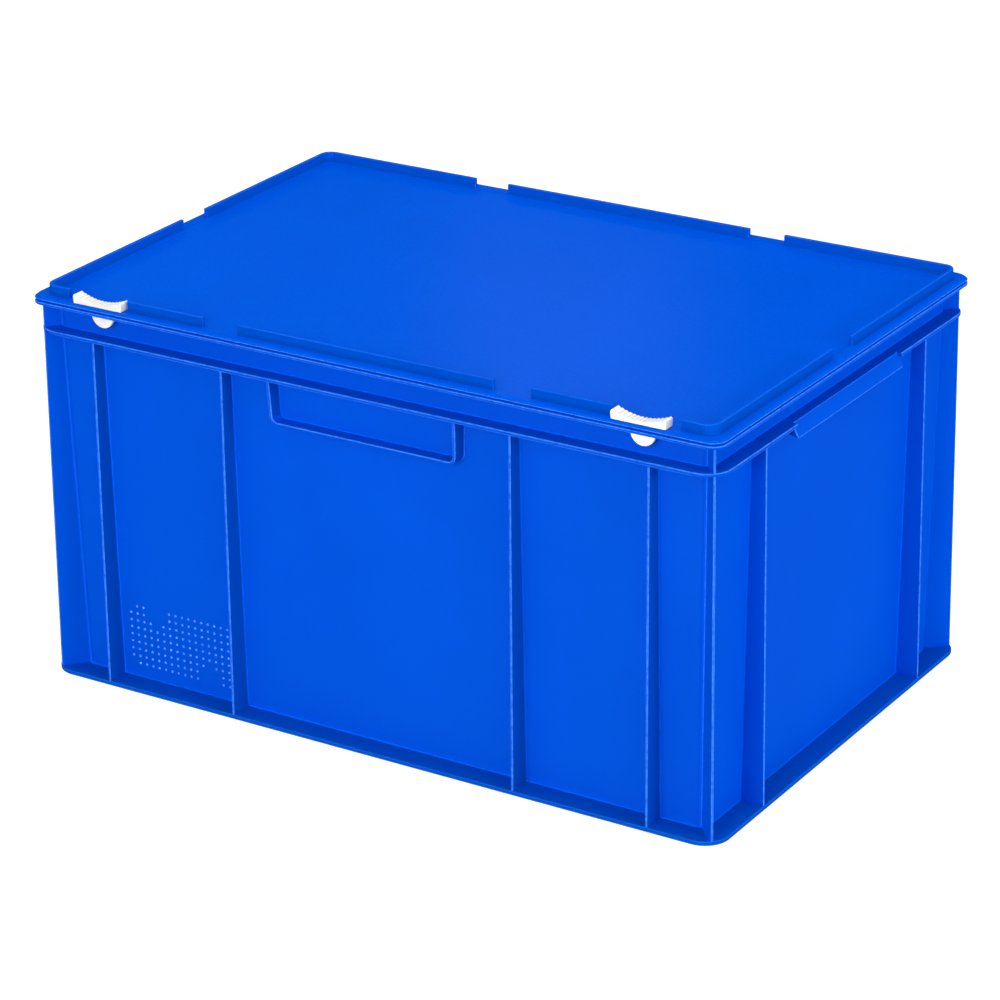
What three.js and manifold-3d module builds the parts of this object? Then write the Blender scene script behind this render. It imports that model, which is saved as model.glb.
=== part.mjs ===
// Euro stacking container with a hinged, latched lid.
// Millimetres, +Z up. Origin: centre of the footprint, at the underside of the stacking foot.
// X runs along the long sides, -Y is the latch side, +Y is the hinge side.

import * as THREE from 'three';
import { mergeVertices } from 'three/addons/utils/BufferGeometryUtils.js';
import Module from 'manifold-3d';

const wasm = await Module();
wasm.setup();

// ---------------------------------------------------------------- driving dimensions

const LENGTH = 600;
const WIDTH = 400;
const CORNER_R = 20;
const CORNER_STEPS = 6;
const PLATE_T = 3;

const FOOT_H = 7.5;
const FOOT_INSET = 13.5;
const FOOT_RIBS_X = [-186, -62, 62, 186];
const FOOT_RIBS_Y = [-62, 62];
const FLOOR_Z = 5;
const FLOOR_T = 3;
const FLANGE_T = 3.5;

const WALL_T = 2.8;
const WALL_INSET_BASE = 19.8;
const WALL_INSET_TOP = 14.5;
const WALL_CORNER_R = 10;

const SHELF_TOP = 295.8;
const SHELF_INSET = 1.5;
const RIM_TOP = 318.7;
const LIP_T = 3.4;
const RIM_INSET = 0.5;
const RIM_CORNER_R = 11;
const LIP_BEVEL = 0.8;

const RIB_T = 1.8;
const RIB_TIP_INSET_BASE = 0.4;
const RIB_TIP_INSET_TOP = 2.4;
const LONG_RIBS = [-242.2, -123.6, 128.4, 242.2];
const SHORT_RIBS = [-126, 126];
const FOOT_RIB_T = 2.8;

const COLLAR_T = 2.4;
const COLLAR_TOP_HALF = 82.4;
const COLLAR_BASE_HALF = 81.6;
const COLLAR_BASE_Z = 258.2;
const COLLAR_R = 7;
const COLLAR_INSET_BASE = 4.4;

const APRON_HALF = 83;
const APRON_TOP_SETBACK = 5.5;
const APRON_BASE_Z = 285;

const LID_GAP = 0.3;
const LID_T = 2.7;
const LID_SUNK = 0.8;
const LID_BEVEL = 0.8;
const RING_INSET = 9;
const RING_T = 3;
const RING_H = 8.1;
const RING_R = 10;
const RING_GAP_LONG = [111.5, 142.5];
const RING_GAP_SHORT = 15.5;
const RING_GAP_LATCH_LEFT = [-267, -212.5];
const RING_GAP_LATCH_RIGHT = [209.5, 264];
const LOCATOR_INSET = 21.5;
const LOCATOR_T = 2.5;
const LOCATOR_H = 4;

const LATCH_X = 235;
const GRIP_BASE_HALF = 22;
const GRIP_TOP_HALF = 22.4;
const GRIP_SHIFT = -1.5;
const GRIP_FRONT_Y = -197;
const GRIP_BACK_Y = -187;
const GRIP_TOP = 329;
const SADDLE_DEPTH = 4.6;
const SADDLE_STEPS = 12;
const HOOK_Y = -191.5;
const HOOK_T = 3;
const HOOK_R = 10.2;
const STEM_HALF = 4;
const SLOT_HALF = 11.2;
const SLOT_T = 4.8;
const BARB_HALF = 3.4;
const BARB_H = 0.8;
const BARB_POCKET_HALF = 4;
const BARB_POCKET_H = 1.2;

const HINGE_X = 190;
const HINGE_Y = 196;
const HINGE_Z = 305.5;
const BARREL_R = 3.5;
const PIN_R = 1.5;
const BORE_R = 1.56;
const PIN_HALF = 25;
const ARM_T = 4;
const CLIP_HALF = 26;
const CLIP_BACK_Y = 186.5;
const CLIP_FACE_Y = 189;
const CLIP_FRONT_Y = 199.2;
const EAR_W = 7;
const SILL_T = 1.4;
const SILL_DROP = 3.6;
const CLEAR = 0.4;
const FIT_GAP = 0.3;

// ---------------------------------------------------------------- derived levels

const HALF_L = LENGTH / 2;
const HALF_W = WIDTH / 2;
const FLANGE_TOP = FOOT_H + FLANGE_T;
const FLOOR_TOP = FLOOR_Z + FLOOR_T;
const LIP_BASE = RIM_TOP - LIP_T;
const SHELF_BASE = SHELF_TOP - PLATE_T;
const LID_BASE = RIM_TOP + LID_GAP;
const LID_TOP = LID_BASE + LID_T;
const RING_TOP = LID_TOP + RING_H;
const WALL_SLOPE = (WALL_INSET_BASE - WALL_INSET_TOP) / (RIM_TOP - FOOT_H);

// ---------------------------------------------------------------- solids

// Turns a closed three.js geometry into a manifold solid.
function solid(geometry) {
  const bare = geometry.clone();
  bare.deleteAttribute('normal');
  bare.deleteAttribute('uv');
  const merged = mergeVertices(bare, 1e-4);
  const vertProperties = new Float32Array(merged.attributes.position.array);
  const triVerts = new Uint32Array(merged.index.array);
  return new wasm.Manifold(new wasm.Mesh({ numProp: 3, vertProperties, triVerts }));
}

// Turns a manifold solid back into a three.js geometry.
function geometryOf(body) {
  const mesh = body.getMesh();
  const geometry = new THREE.BufferGeometry();
  geometry.setAttribute('position', new THREE.BufferAttribute(new Float32Array(mesh.vertProperties), 3));
  geometry.setIndex(new THREE.BufferAttribute(new Uint32Array(mesh.triVerts), 1));
  return geometry;
}

function join(solids) {
  return solids.reduce((sum, next) => sum.add(next));
}

// Axis-aligned box from low and high corners.
function box(x0, x1, y0, y1, z0, z1) {
  const geometry = new THREE.BoxGeometry(x1 - x0, y1 - y0, z1 - z0);
  geometry.translate((x0 + x1) / 2, (y0 + y1) / 2, (z0 + z1) / 2);
  return solid(geometry);
}

// Rounded rectangle centred on the origin.
function roundedRect(halfX, halfY, radius) {
  const shape = new THREE.Shape();
  shape.moveTo(halfX - radius, -halfY);
  shape.absarc(halfX - radius, radius - halfY, radius, -Math.PI / 2, 0, false);
  shape.absarc(halfX - radius, halfY - radius, radius, 0, Math.PI / 2, false);
  shape.absarc(radius - halfX, halfY - radius, radius, Math.PI / 2, Math.PI, false);
  shape.absarc(radius - halfX, radius - halfY, radius, Math.PI, Math.PI * 1.5, false);
  return shape;
}

// Upright prism over a shape, between two levels, with bevelled edges if a bevel is given.
function prism(shape, z0, z1, bevel = 0) {
  const options = {
    depth: z1 - z0 - 2 * bevel,
    bevelEnabled: bevel > 0,
    bevelThickness: bevel,
    bevelSize: bevel,
    bevelOffset: -bevel,
    bevelSegments: 1,
    curveSegments: CORNER_STEPS,
  };
  const geometry = new THREE.ExtrudeGeometry(shape, options);
  geometry.translate(0, 0, z0 + bevel);
  return geometry;
}

// Plate with the footprint's outline, set in by an inset.
function plate(inset, z0, z1, radius = CORNER_R - inset, bevel = 0) {
  return solid(prism(roundedRect(HALF_L - inset, HALF_W - inset, radius), z0, z1, bevel));
}

// Prism whose four sides lean out with height, by the walls' draft.
function drafted(insetAtFoot, radius, z0, z1) {
  const shape = roundedRect(HALF_L - insetAtFoot, HALF_W - insetAtFoot, radius);
  const geometry = prism(shape, z0, z1);
  const position = geometry.attributes.position;
  for (let i = 0; i < position.count; i += 1) {
    const lean = (position.getZ(i) - FOOT_H) * WALL_SLOPE;
    position.setX(i, position.getX(i) + Math.sign(position.getX(i)) * lean);
    position.setY(i, position.getY(i) + Math.sign(position.getY(i)) * lean);
  }
  return solid(geometry);
}

// Prism along X over a shape drawn in Y (right) and Z (up).
function prismAlongX(shape, x0, x1) {
  const options = { depth: x1 - x0, bevelEnabled: false, curveSegments: CORNER_STEPS };
  const geometry = new THREE.ExtrudeGeometry(shape, options);
  geometry.rotateX(Math.PI / 2);
  geometry.rotateZ(Math.PI / 2);
  geometry.translate(x0, 0, 0);
  return solid(geometry);
}

// Prism along Y over a shape drawn in X (right) and Z (up).
function prismAlongY(shape, y0, y1) {
  const options = { depth: y1 - y0, bevelEnabled: false, curveSegments: CORNER_STEPS };
  const geometry = new THREE.ExtrudeGeometry(shape, options);
  geometry.rotateX(Math.PI / 2);
  geometry.translate(0, y1, 0);
  return solid(geometry);
}

// Rod along X.
function rodAlongX(radius, x0, x1, y, z, sides = 24) {
  const geometry = new THREE.CylinderGeometry(radius, radius, x1 - x0, sides);
  geometry.rotateZ(Math.PI / 2);
  geometry.translate((x0 + x1) / 2, y, z);
  return solid(geometry);
}

function polygon(points) {
  return new THREE.Shape(points.map(([u, v]) => new THREE.Vector2(u, v)));
}

// Box lying against a side of the footprint, between two insets. Its outer face can lean in with height.
function leaningBox(outerBase, outerTop, inner, half, z0, z1) {
  const geometry = new THREE.BoxGeometry(1, 2 * half, z1 - z0);
  const position = geometry.attributes.position;
  for (let i = 0; i < position.count; i += 1) {
    const outer = position.getZ(i) > 0 ? outerTop : outerBase;
    position.setX(i, position.getX(i) > 0 ? -outer : -inner);
  }
  geometry.translate(0, 0, (z0 + z1) / 2);
  return geometry;
}

// ---------------------------------------------------------------- container body

// Rib's blank: its tip sits back from the footprint, more so at the top.
function ribBlank(inner, top) {
  const rise = (top - FLANGE_TOP) / (SHELF_BASE - FLANGE_TOP);
  const tipAtTop = RIB_TIP_INSET_BASE + (RIB_TIP_INSET_TOP - RIB_TIP_INSET_BASE) * rise;
  return leaningBox(RIB_TIP_INSET_BASE, tipAtTop, inner, RIB_T / 2, FOOT_H + 1, top);
}

function longRibs() {
  const ribs = [];
  for (const x of LONG_RIBS) {
    for (const side of [-1, 1]) {
      const rib = ribBlank(WALL_INSET_BASE + 1, SHELF_TOP - 1);
      rib.rotateZ((side * Math.PI) / 2);
      rib.translate(x, side * HALF_W, 0);
      ribs.push(solid(rib));
    }
  }
  return ribs;
}

function shortRibs() {
  const ribs = [];
  for (const y of SHORT_RIBS) {
    for (const side of [-1, 1]) {
      const rib = ribBlank(WALL_INSET_BASE + 1, SHELF_TOP - 1);
      rib.rotateZ(side > 0 ? 0 : Math.PI);
      rib.translate(side * HALF_L, y, 0);
      ribs.push(solid(rib));
    }
  }
  return ribs;
}

// Upright fin on each corner's diagonal, from the wall to the footprint's rounded corner.
function cornerFins() {
  const reach = CORNER_R * (1 - Math.SQRT1_2);
  const length = 34;
  const fins = [];
  for (const sx of [-1, 1]) {
    for (const sy of [-1, 1]) {
      const fin = ribBlank(length, LIP_BASE + 1);
      fin.rotateZ(Math.atan2(sy, sx));
      fin.translate(sx * (HALF_L - reach), sy * (HALF_W - reach), 0);
      fins.push(solid(fin));
    }
  }
  return fins;
}

// Outline of a hand collar: near-upright sides and a bar with rounded corners.
function collarOutline(offset) {
  const top = COLLAR_TOP_HALF - offset;
  const base = COLLAR_BASE_HALF - offset;
  const low = COLLAR_BASE_Z + offset;
  const radius = COLLAR_R - offset;
  const shape = new THREE.Shape();
  shape.moveTo(-top, SHELF_TOP - 1);
  shape.lineTo(-base, low + radius);
  shape.absarc(radius - base, low + radius, radius, Math.PI, Math.PI * 1.5, false);
  shape.absarc(base - radius, low + radius, radius, Math.PI * 1.5, Math.PI * 2, false);
  shape.lineTo(top, SHELF_TOP - 1);
  return shape;
}

// U-shaped collar under the shelf, standing out of each long wall. Its edge leans in towards the bar.
function handCollars() {
  const collars = [];
  const outline = prismAlongY(collarOutline(0), -HALF_W, HALF_W);
  const hollow = prismAlongY(collarOutline(COLLAR_T), -HALF_W - 1, HALF_W + 1);
  for (const side of [-1, 1]) {
    const low = COLLAR_BASE_Z - 1;
    const high = SHELF_TOP - 0.5;
    const band = leaningBox(COLLAR_INSET_BASE, RIB_TIP_INSET_TOP, WALL_INSET_BASE, HALF_L, low, high);
    band.rotateZ((side * Math.PI) / 2);
    band.translate(0, side * HALF_W, 0);
    collars.push(solid(band).intersect(outline).subtract(hollow));
  }
  return collars;
}

// Section of a short side's grip: the shelf's outer part turned down and out, with a web at each end.
function gripAprons() {
  const topX = HALF_L - APRON_TOP_SETBACK;
  const lowX = HALF_L;
  const wallX = HALF_L - WALL_INSET_TOP - 3;
  const aprons = [];
  for (const side of [-1, 1]) {
    const lip = polygon([
      [side * topX, SHELF_TOP],
      [side * lowX, APRON_BASE_Z],
      [side * (lowX - PLATE_T), APRON_BASE_Z],
      [side * (topX - PLATE_T), SHELF_BASE + 0.5],
      [side * (topX - PLATE_T), SHELF_TOP],
    ]);
    const web = polygon([
      [side * wallX, SHELF_TOP - 1],
      [side * (topX - 1), SHELF_TOP - 1],
      [side * (lowX - 0.6), APRON_BASE_Z + 0.4],
      [side * (lowX - PLATE_T), APRON_BASE_Z],
      [side * wallX, APRON_BASE_Z + 4],
    ]);
    aprons.push(prismAlongY(lip, -APRON_HALF, APRON_HALF));
    aprons.push(prismAlongY(web, -APRON_HALF, PLATE_T - APRON_HALF));
    aprons.push(prismAlongY(web, APRON_HALF - PLATE_T, APRON_HALF));
  }
  return aprons;
}

// Clears the shelf's edge where a grip apron takes its place.
function shelfCutouts() {
  const cuts = [];
  for (const side of [-1, 1]) {
    const x = [side * (HALF_L - APRON_TOP_SETBACK), side * (HALF_L + 1)];
    const y = APRON_HALF - 1;
    cuts.push(box(Math.min(...x), Math.max(...x), -y, y, SHELF_BASE - 1, SHELF_TOP + 1));
  }
  return cuts;
}

// Skirt and ribs under the floor: a block with a grid of pockets let into its underside.
function stackingFoot() {
  const cells = plate(FOOT_INSET + PLATE_T, -1, FLOOR_Z, WALL_CORNER_R - PLATE_T);
  const ribs = [];
  for (const x of FOOT_RIBS_X) {
    ribs.push(box(x - FOOT_RIB_T / 2, x + FOOT_RIB_T / 2, -HALF_W, HALF_W, -2, FLOOR_Z + 1));
  }
  for (const y of FOOT_RIBS_Y) {
    ribs.push(box(-HALF_L, HALF_L, y - FOOT_RIB_T / 2, y + FOOT_RIB_T / 2, -2, FLOOR_Z + 1));
  }
  return plate(FOOT_INSET, 0, FOOT_H + 1, WALL_CORNER_R).subtract(cells.subtract(join(ribs)));
}

// Openings in the rim lip for the latch hooks and the hinge arms.
function lipOpenings() {
  const cuts = [];
  for (const side of [-1, 1]) {
    const latch = side * LATCH_X;
    const y = [HOOK_Y - SLOT_T / 2, HOOK_Y + SLOT_T / 2];
    cuts.push(box(latch - SLOT_HALF, latch + SLOT_HALF, ...y, LIP_BASE - 1, RIM_TOP + 1));
    const hinge = side * HINGE_X;
    const reach = CLIP_HALF + 2;
    cuts.push(box(hinge - reach, hinge + reach, HINGE_Y - 6, HALF_W + 1, LIP_BASE - 1, RIM_TOP + 1));
  }
  return cuts;
}

function containerBody() {
  const shell = join([
    drafted(WALL_INSET_BASE, WALL_CORNER_R, FOOT_H, RIM_TOP),
    plate(0, FOOT_H, FLANGE_TOP),
    plate(SHELF_INSET, SHELF_BASE, SHELF_TOP, CORNER_R).subtract(join(shelfCutouts())),
    plate(RIM_INSET, LIP_BASE, RIM_TOP, RIM_CORNER_R, LIP_BEVEL),
    ...longRibs(),
    ...shortRibs(),
    ...cornerFins(),
    ...handCollars(),
    ...gripAprons(),
    stackingFoot(),
  ]);
  const cavity = drafted(WALL_INSET_BASE + WALL_T, WALL_CORNER_R - WALL_T, FLOOR_TOP, RIM_TOP + 5);
  return shell.subtract(cavity).subtract(join(lipOpenings()));
}

// ---------------------------------------------------------------- lid

// Stacking ring, interrupted on every side and around the latches.
function stackingRing() {
  const outer = plate(RING_INSET, LID_TOP - 1, RING_TOP, RING_R);
  const inner = plate(RING_INSET + RING_T, LID_TOP - 2, RING_TOP + 1, RING_R - RING_T);
  const low = LID_TOP;
  const high = RING_TOP + 2;
  const band = RING_INSET + RING_T + 3;
  const cuts = [];
  for (const side of [-1, 1]) {
    const x = RING_GAP_LONG.map((value) => side * value).sort((a, b) => a - b);
    cuts.push(box(x[0], x[1], -HALF_W, HALF_W, low, high));
  }
  for (const x of [RING_GAP_LATCH_LEFT, RING_GAP_LATCH_RIGHT]) {
    cuts.push(box(...x, -HALF_W, band - HALF_W, low, high));
  }
  cuts.push(box(-HALF_L, HALF_L, -RING_GAP_SHORT, RING_GAP_SHORT, low, high));
  return outer.subtract(inner).subtract(join(cuts));
}

// Rib loop that drops inside the rim, and the stiffening ribs it carries.
function undersideRibs() {
  const z0 = LID_BASE - LOCATOR_H;
  const halfX = HALF_L - LOCATOR_INSET;
  const halfY = HALF_W - LOCATOR_INSET;
  const inner = plate(LOCATOR_INSET + LOCATOR_T, z0 - 1, LID_BASE + 2, 6);
  const parts = [plate(LOCATOR_INSET, z0, LID_BASE + 1, 6 + LOCATOR_T).subtract(inner)];
  for (const x of [-186, -93, 0, 93, 186]) {
    parts.push(box(x - 1.1, x + 1.1, -halfY + 1, halfY - 1, z0 + 1, LID_BASE + 1));
  }
  for (const y of [-60, 60]) {
    parts.push(box(-halfX + 1, halfX - 1, y - 1.1, y + 1.1, z0 + 1, LID_BASE + 1));
  }
  return join(parts);
}

// Arm and barrel of one hinge. The arm's back lands on the clip's sill at full opening.
function hingeArm(x) {
  const half = CLIP_HALF - EAR_W - CLEAR;
  const arm = box(x - half, x + half, HINGE_Y - ARM_T / 2, HINGE_Y + ARM_T / 2, HINGE_Z, LID_BASE + 1);
  const barrel = rodAlongX(BARREL_R, x - half, x + half, HINGE_Y, HINGE_Z);
  const bore = rodAlongX(BORE_R, x - half - 1, x + half + 1, HINGE_Y, HINGE_Z);
  return arm.add(barrel).subtract(bore);
}

// Slot for a latch's stem, wider below where the latch's barbs run.
function latchSlot(x) {
  const x0 = x - SLOT_HALF;
  const x1 = x + SLOT_HALF;
  const through = box(x0, x1, HOOK_Y - SLOT_T / 2, HOOK_Y + SLOT_T / 2, LID_BASE - 1, LID_TOP + 1);
  const y0 = HOOK_Y - BARB_POCKET_HALF;
  const y1 = HOOK_Y + BARB_POCKET_HALF;
  return through.add(box(x0, x1, y0, y1, LID_BASE - 1, LID_BASE + BARB_POCKET_H));
}

function lid() {
  const sunk = plate(RING_INSET + RING_T, LID_TOP - LID_SUNK, LID_TOP + 1, RING_R - RING_T);
  const top = plate(RIM_INSET, LID_BASE, LID_TOP, RIM_CORNER_R, LID_BEVEL).subtract(sunk);
  const whole = join([top, stackingRing(), undersideRibs(), hingeArm(-HINGE_X), hingeArm(HINGE_X)]);
  return whole.subtract(latchSlot(-LATCH_X)).subtract(latchSlot(LATCH_X));
}

// ---------------------------------------------------------------- latches

// Outline of a latch's grip in X and Z: flared ends and a saddle between them.
function gripOutline() {
  const base = LID_TOP + FIT_GAP;
  const points = [[-GRIP_BASE_HALF, base], [GRIP_BASE_HALF, base], [GRIP_TOP_HALF, GRIP_TOP - 2]];
  const saddleHalf = GRIP_TOP_HALF - 2;
  for (let i = 0; i <= SADDLE_STEPS; i += 1) {
    const along = 1 - (2 * i) / SADDLE_STEPS;
    points.push([along * saddleHalf, GRIP_TOP - SADDLE_DEPTH * (1 - along * along)]);
  }
  points.push([-GRIP_TOP_HALF, GRIP_TOP - 2]);
  return polygon(points);
}

// Half-round hook, flat side up.
function hookOutline() {
  const top = LIP_BASE - FIT_GAP;
  const shape = new THREE.Shape();
  shape.moveTo(-HOOK_R, top);
  shape.absarc(0, top, HOOK_R, Math.PI, Math.PI * 2, false);
  return shape;
}

// Sliding latch: a grip on the lid, a barbed stem through it and a hook under the rim's lip.
function latch(x) {
  const y0 = HOOK_Y - HOOK_T / 2;
  const y1 = HOOK_Y + HOOK_T / 2;
  const grip = prismAlongY(gripOutline(), GRIP_FRONT_Y, GRIP_BACK_Y).translate([GRIP_SHIFT, 0, 0]);
  const hook = prismAlongY(hookOutline(), y0, y1);
  const stem = box(-STEM_HALF, STEM_HALF, y0, y1, LIP_BASE - FIT_GAP - 1, LID_TOP + FIT_GAP + 1);
  const barbBase = LID_BASE + 0.1;
  const barbs = box(
    -STEM_HALF, STEM_HALF, HOOK_Y - BARB_HALF, HOOK_Y + BARB_HALF, barbBase, barbBase + BARB_H,
  );
  return join([grip, hook, stem, barbs]).translate([x, 0, 0]);
}

// ---------------------------------------------------------------- hinges

// Clip that fills the rear rim channel and carries a hinge pin between two ears.
function hingeClip(x) {
  const z0 = SHELF_TOP + FIT_GAP;
  const z1 = LIP_BASE - FIT_GAP;
  const section = polygon([
    [CLIP_BACK_Y, z0],
    [CLIP_FRONT_Y, z0],
    [CLIP_FRONT_Y, HINGE_Z + 2],
    [CLIP_FRONT_Y - 2, HINGE_Z + 4],
    [CLIP_FACE_Y + 2, z1],
    [CLIP_BACK_Y, z1],
  ]);
  const block = prismAlongX(section, x - CLIP_HALF, x + CLIP_HALF);
  const x0 = x - CLIP_HALF + EAR_W;
  const x1 = x + CLIP_HALF - EAR_W;
  const sillY = CLIP_FRONT_Y - SILL_T;
  const pocket = box(x0, x1, CLIP_FACE_Y, sillY, z0 + SILL_T, z1 + 1);
  const aboveSill = box(x0, x1, sillY - 1, CLIP_FRONT_Y + 1, HINGE_Z - SILL_DROP, z1 + 1);
  const bore = rodAlongX(BORE_R, x - CLIP_HALF - 1, x + CLIP_HALF + 1, HINGE_Y, HINGE_Z);
  return block.subtract(pocket.add(aboveSill)).subtract(bore);
}

function hingePin(x) {
  return rodAlongX(PIN_R, x - PIN_HALF, x + PIN_HALF, HINGE_Y, HINGE_Z);
}

// ---------------------------------------------------------------- materials and assembly

const wallPlastic = new THREE.MeshStandardMaterial({ color: 0x0050e1, roughness: 0.42, metalness: 0 });
const lidPlastic = new THREE.MeshStandardMaterial({ color: 0x0055e6, roughness: 0.5, metalness: 0 });
const latchPlastic = new THREE.MeshStandardMaterial({ color: 0xfaf8f0, roughness: 0.4, metalness: 0 });
const pinSteel = new THREE.MeshStandardMaterial({ color: 0xb8bcc2, roughness: 0.3, metalness: 1 });

const part = new THREE.Group();
part.name = 'attached_lid_tote';

function place(name, body, material) {
  const mesh = new THREE.Mesh(geometryOf(body), material);
  mesh.geometry.computeVertexNormals();
  mesh.name = name;
  part.add(mesh);
}

place('container_body', containerBody(), wallPlastic);
place('lid', lid(), lidPlastic);
place('latch_left', latch(-LATCH_X), latchPlastic);
place('latch_right', latch(LATCH_X), latchPlastic);
place('hinge_clip_left', hingeClip(-HINGE_X), wallPlastic);
place('hinge_clip_right', hingeClip(HINGE_X), wallPlastic);
place('hinge_pin_left', hingePin(-HINGE_X), pinSteel);
place('hinge_pin_right', hingePin(HINGE_X), pinSteel);

export default part;
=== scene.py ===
import math

import bmesh
import bpy
from mathutils import Matrix, Vector


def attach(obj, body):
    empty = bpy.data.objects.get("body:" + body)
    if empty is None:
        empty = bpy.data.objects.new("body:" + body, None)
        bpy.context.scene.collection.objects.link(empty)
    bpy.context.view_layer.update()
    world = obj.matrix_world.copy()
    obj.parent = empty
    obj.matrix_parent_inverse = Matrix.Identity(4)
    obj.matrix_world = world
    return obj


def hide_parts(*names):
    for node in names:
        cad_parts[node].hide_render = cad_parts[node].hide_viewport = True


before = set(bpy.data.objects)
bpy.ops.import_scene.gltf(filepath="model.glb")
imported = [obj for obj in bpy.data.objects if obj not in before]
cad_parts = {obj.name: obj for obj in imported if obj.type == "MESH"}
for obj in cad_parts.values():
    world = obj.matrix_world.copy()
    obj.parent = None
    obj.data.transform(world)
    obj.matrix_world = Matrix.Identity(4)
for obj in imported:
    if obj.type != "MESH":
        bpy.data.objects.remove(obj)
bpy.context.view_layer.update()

# ---------------------------------------------------------------- dimensions, millimetres

MM = 0.001
HALF_L, HALF_W = 300.0, 200.0
CORNER_R = 20.0
LID_R = 11.0
WALL_R = 10.0
INNER_R = 7.2
ARC_STEPS = 10

FOOT_H = 7.5
FOOT_INSET, FOOT_T = 13.5, 3.0
FLANGE_TOP = 11.0
FLOOR_LOW, FLOOR_TOP = 5.0, 8.0
WALL_T = 2.8
WALL_INSET_LOW, WALL_INSET_TOP = 19.8, 14.5
SHELF_LOW, SHELF_TOP = 292.8, 295.8
SHELF_INSET, LIP_INSET = 1.5, 0.5
LIP_LOW, RIM_TOP = 315.3, 318.7
SLOPE = (WALL_INSET_LOW - WALL_INSET_TOP) / (RIM_TOP - FOOT_H)

RIB_T, RIB_SUNK = 1.8, 1.2
RIB_TIP_LOW, RIB_TIP_TOP = 0.4, 2.4
LONG_RIBS = (-242.2, -123.6, 128.4, 242.2)
SHORT_RIBS = (-126.0, 126.0)
COLLAR_TOP_HALF, COLLAR_BASE_HALF, COLLAR_LOW = 81.2, 80.4, 259.4
COLLAR_T, COLLAR_R, COLLAR_LEAN = 2.4, 5.8, 0.06
APRON_HALF, APRON_CUT_HALF, APRON_CUT_FROM = 83.0, 82.0, 294.5
UNDER_RIB_HALF_T, UNDER_RIB_TOP = 1.4, 6.0

LID_LOW, LID_TOP, LID_SUNK = 319.0, 321.7, 320.9
RING_TOP = 329.8
RING_MID = 10.5
RING_T = 3.0
# Height up to which the ring's upright faces carry their full painted shade.
RING_DARK_TO = 324.6
LOOP_OUT, LOOP_IN, LOOP_LOW = 21.5, 24.0, 315.0

LATCH_X = 235.0
HOOK_Y = -191.5
SLOT_HALF, SLOT_HALF_T = 11.2, 2.4
STEM_HALF, STEM_HALF_T = 4.0, 1.5
HINGE_X, HINGE_Y, HINGE_Z = 190.0, 196.0, 305.5
HINGE_BORE_R, HINGE_PIN_R = 1.56, 1.5
ARM_HALF, BARREL_R = 18.6, 3.5
NOTCH_HALF, NOTCH_DEPTH = 28.0, 6.0
# Gap between pieces that slide or stand on each other, and how far a cut runs past the face that it opens.
CLEAR, PAST = 0.3, 1.0
GRIP_BASE = LID_TOP + CLEAR

# Bend, per millimetre, from which an edge gets its painted highlight and a root its painted root colour (a
# highlight on the walls, shade on the lid), and the span up to full strength.
EDGE_FROM, ROOT_FROM, BEND_SPAN = 0.6, 0.15, 0.3
# Share of a unit normal from which a face counts as facing along an axis.
FACING = 0.9


def wall_inset(z):
    """Inset of the wall's outer face from the footprint, at a height."""
    return WALL_INSET_LOW - (z - FOOT_H) * SLOPE


def tip_inset(z):
    """Inset of the ribs' tips from the footprint, at a height."""
    return RIB_TIP_LOW + (z - FLANGE_TOP) * (RIB_TIP_TOP - RIB_TIP_LOW) / (SHELF_LOW - FLANGE_TOP)


# ---------------------------------------------------------------- mesh helpers

def arc(cu, cv, r, a0, a1, steps):
    """Points of an arc about (cu, cv), angles in degrees."""
    out = []
    for i in range(steps + 1):
        a = math.radians(a0 + (a1 - a0) * i / steps)
        out.append((cu + r * math.cos(a), cv + r * math.sin(a)))
    return out


def circle(cu, cv, r):
    """Points of a full circle about (cu, cv), without a repeated end."""
    steps = 24
    return arc(cu, cv, r, 0, 360 - 360 / steps, steps - 1)


# Angles over a quarter turn, for the rounded edges and fillets of a profile.
QUARTER = [math.radians(a) for a in (0, 22.5, 45, 67.5, 90)]


def rounded_rect(inset, r):
    """Points round the footprint, set in by an inset, anticlockwise from the front right corner."""
    hx, hy = HALF_L - inset, HALF_W - inset
    corners = ((hx - r, r - hy, -90), (hx - r, hy - r, 0), (r - hx, hy - r, 90), (r - hx, r - hy, 180))
    pts = []
    for cx, cy, a in corners:
        pts += arc(cx, cy, r, a, a + 90, ARC_STEPS)
    return pts


def new_object(name, bm):
    """Object from a bmesh in millimetres, which is freed."""
    mesh = bpy.data.meshes.new(name)
    bmesh.ops.recalc_face_normals(bm, faces=bm.faces)
    bm.to_mesh(mesh)
    bm.free()
    mesh.transform(Matrix.Scale(MM, 4))
    obj = bpy.data.objects.new(name, mesh)
    bpy.context.scene.collection.objects.link(obj)
    return obj


def loft(name, rings):
    """Solid over a list of rings that have the same number of points, capped at both ends."""
    bm = bmesh.new()
    rows = [[bm.verts.new(p) for p in ring] for ring in rings]
    n = len(rows[0])
    for a, b in zip(rows, rows[1:]):
        for i in range(n):
            bm.faces.new((a[i], a[(i + 1) % n], b[(i + 1) % n], b[i]))
    bm.faces.new(rows[0])
    bm.faces.new(rows[-1])
    return new_object(name, bm)


def footprint_loft(name, profile):
    """Solid swept round the footprint. The profile lists (inset, height, corner radius)."""
    return loft(name, [[(x, y, z) for x, y in rounded_rect(inset, r)] for inset, z, r in profile])


def prism(name, points, axis, low, high):
    """Prism over a polygon, along X, Y or Z. The polygon is drawn in the two other axes, in X, Y, Z order."""
    place = {
        "X": lambda u, v, w: (w, u, v),
        "Y": lambda u, v, w: (u, w, v),
        "Z": lambda u, v, w: (u, v, w),
    }[axis]
    return loft(name, [[place(u, v, low) for u, v in points], [place(u, v, high) for u, v in points]])


def block(name, x0, x1, y0, y1, z0, z1):
    """Box between two corners."""
    return prism(name, [(x0, y0), (x1, y0), (x1, y1), (x0, y1)], "Z", z0, z1)


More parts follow.
